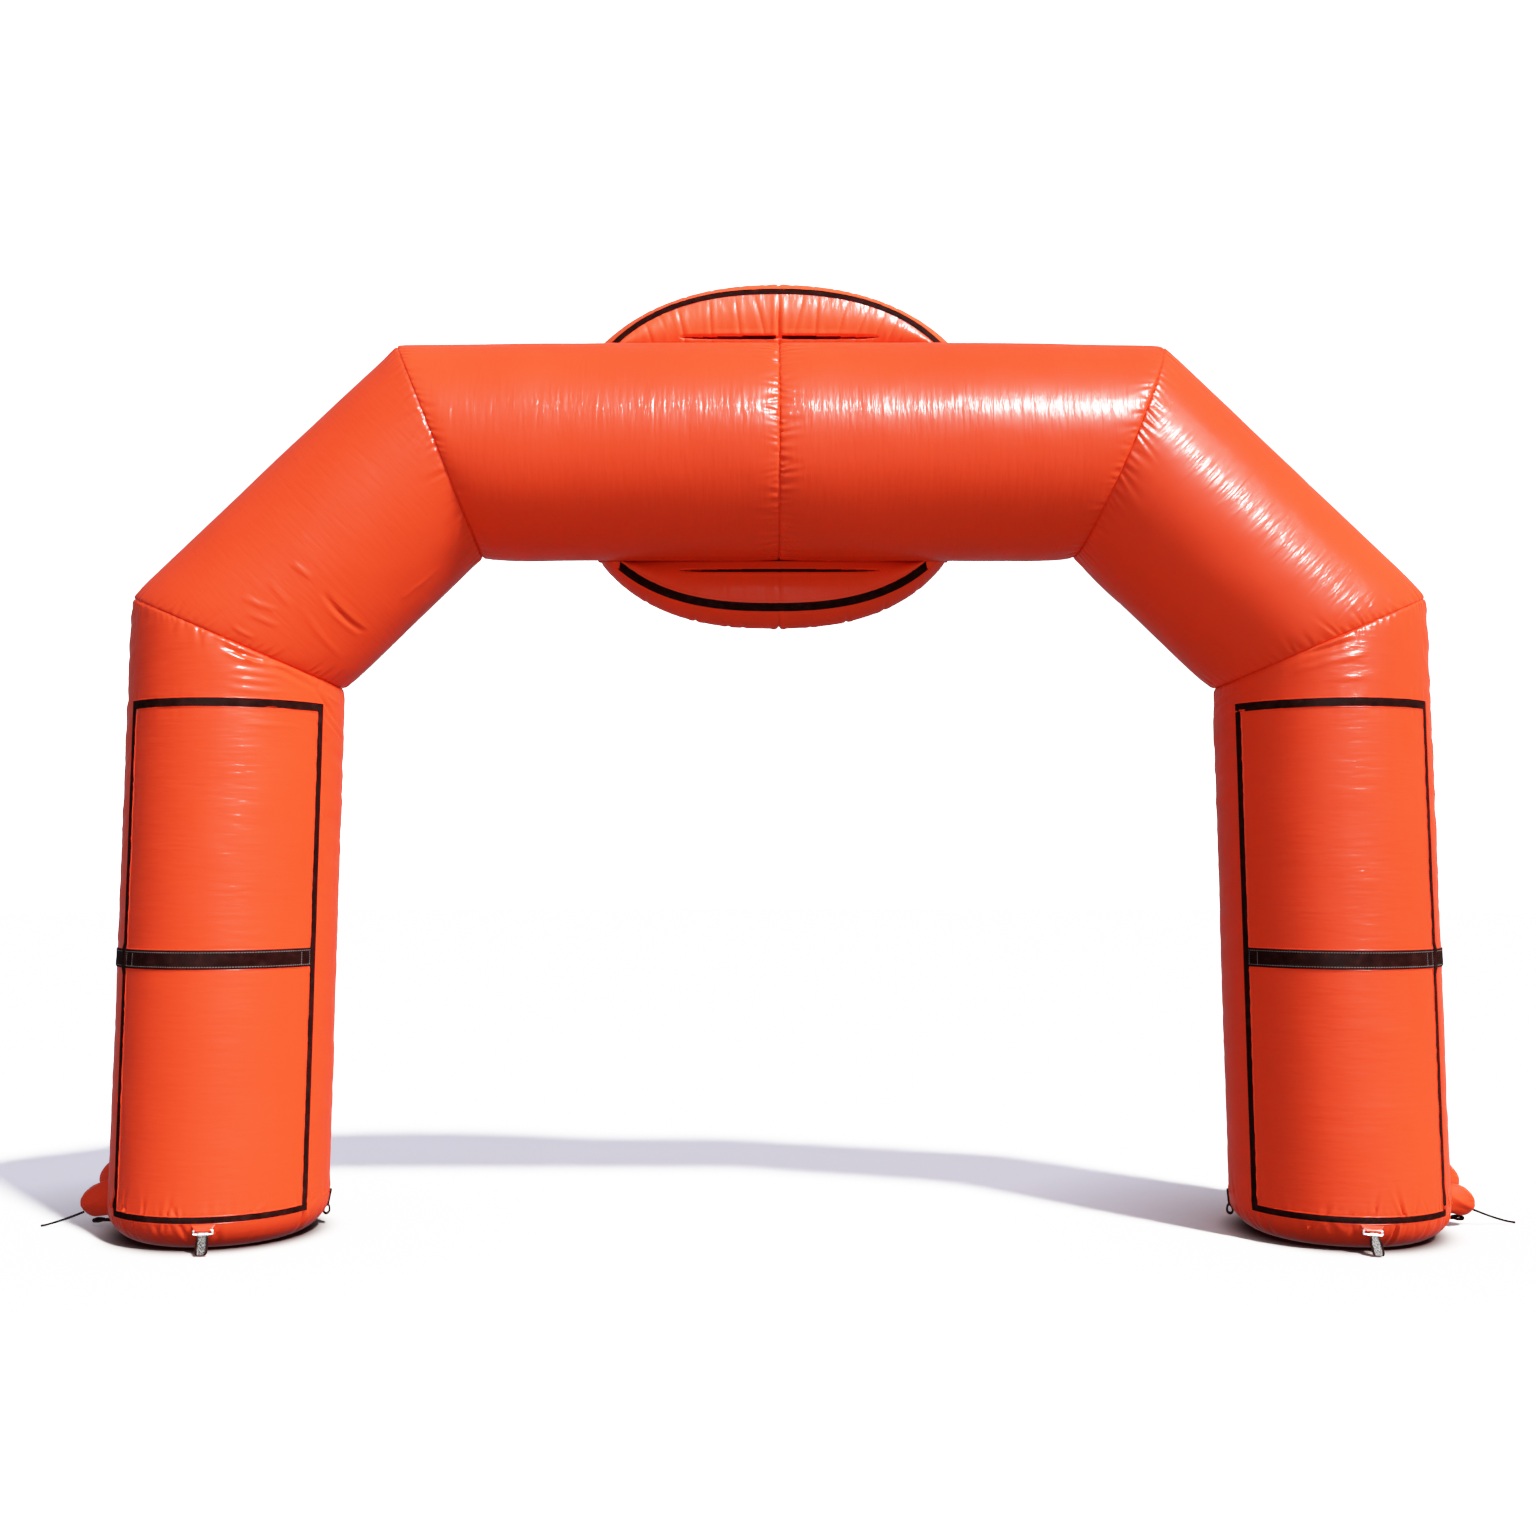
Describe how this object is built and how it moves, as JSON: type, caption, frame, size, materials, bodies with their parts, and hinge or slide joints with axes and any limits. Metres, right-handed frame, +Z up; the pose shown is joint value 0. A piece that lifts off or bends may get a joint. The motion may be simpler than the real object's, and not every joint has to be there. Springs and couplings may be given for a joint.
{
  "type": "inflatable arch",
  "caption": "Free-standing inflatable arch of coated cloth: round upright legs, mitred shoulders, a level beam with an oval crest, taped frames, anchors and air sleeves.",
  "frame": {"origin": "middle of the arch's box, on the ground", "axes": "+X across the arch's width, to the right when seen from the front; -Y is the front; +Z up"},
  "size_m": [6.7501, 1.0341, 4.417],
  "materials": {
    "cloth": "glossy coated",
    "webbing": "satin woven",
    "metal": "polished"
  },
  "bodies": {
    "root": {"anchor_ring_left": "metal", "anchor_ring_right": "metal", "anchor_strap_left": "webbing", "anchor_strap_right": "webbing", "anchor_tab_left": "cloth", "anchor_tab_right": "cloth", "band_left": "webbing", "band_right": "webbing", "beam_left": "cloth", "beam_right": "cloth", "crest_lower": "cloth", "crest_tape_lower": "webbing", "crest_tape_upper": "webbing", "crest_upper": "cloth", "drawcord_left": "webbing", "drawcord_right": "webbing", "leg_left": "cloth", "leg_right": "cloth", "shoulder_left": "cloth", "shoulder_right": "cloth", "side_loop_left": "webbing", "side_loop_right": "webbing", "sleeve_fold_left": "cloth", "sleeve_fold_right": "cloth", "sleeve_left": "cloth", "sleeve_loop_left": "webbing", "sleeve_loop_right": "webbing", "sleeve_right": "cloth", "tape_bottom_left": "webbing", "tape_bottom_right": "webbing", "tape_inner_left": "webbing", "tape_inner_right": "webbing", "tape_outer_left": "webbing", "tape_outer_right": "webbing", "tape_top_left": "webbing", "tape_top_right": "webbing"}
  },
  "joints": []
}
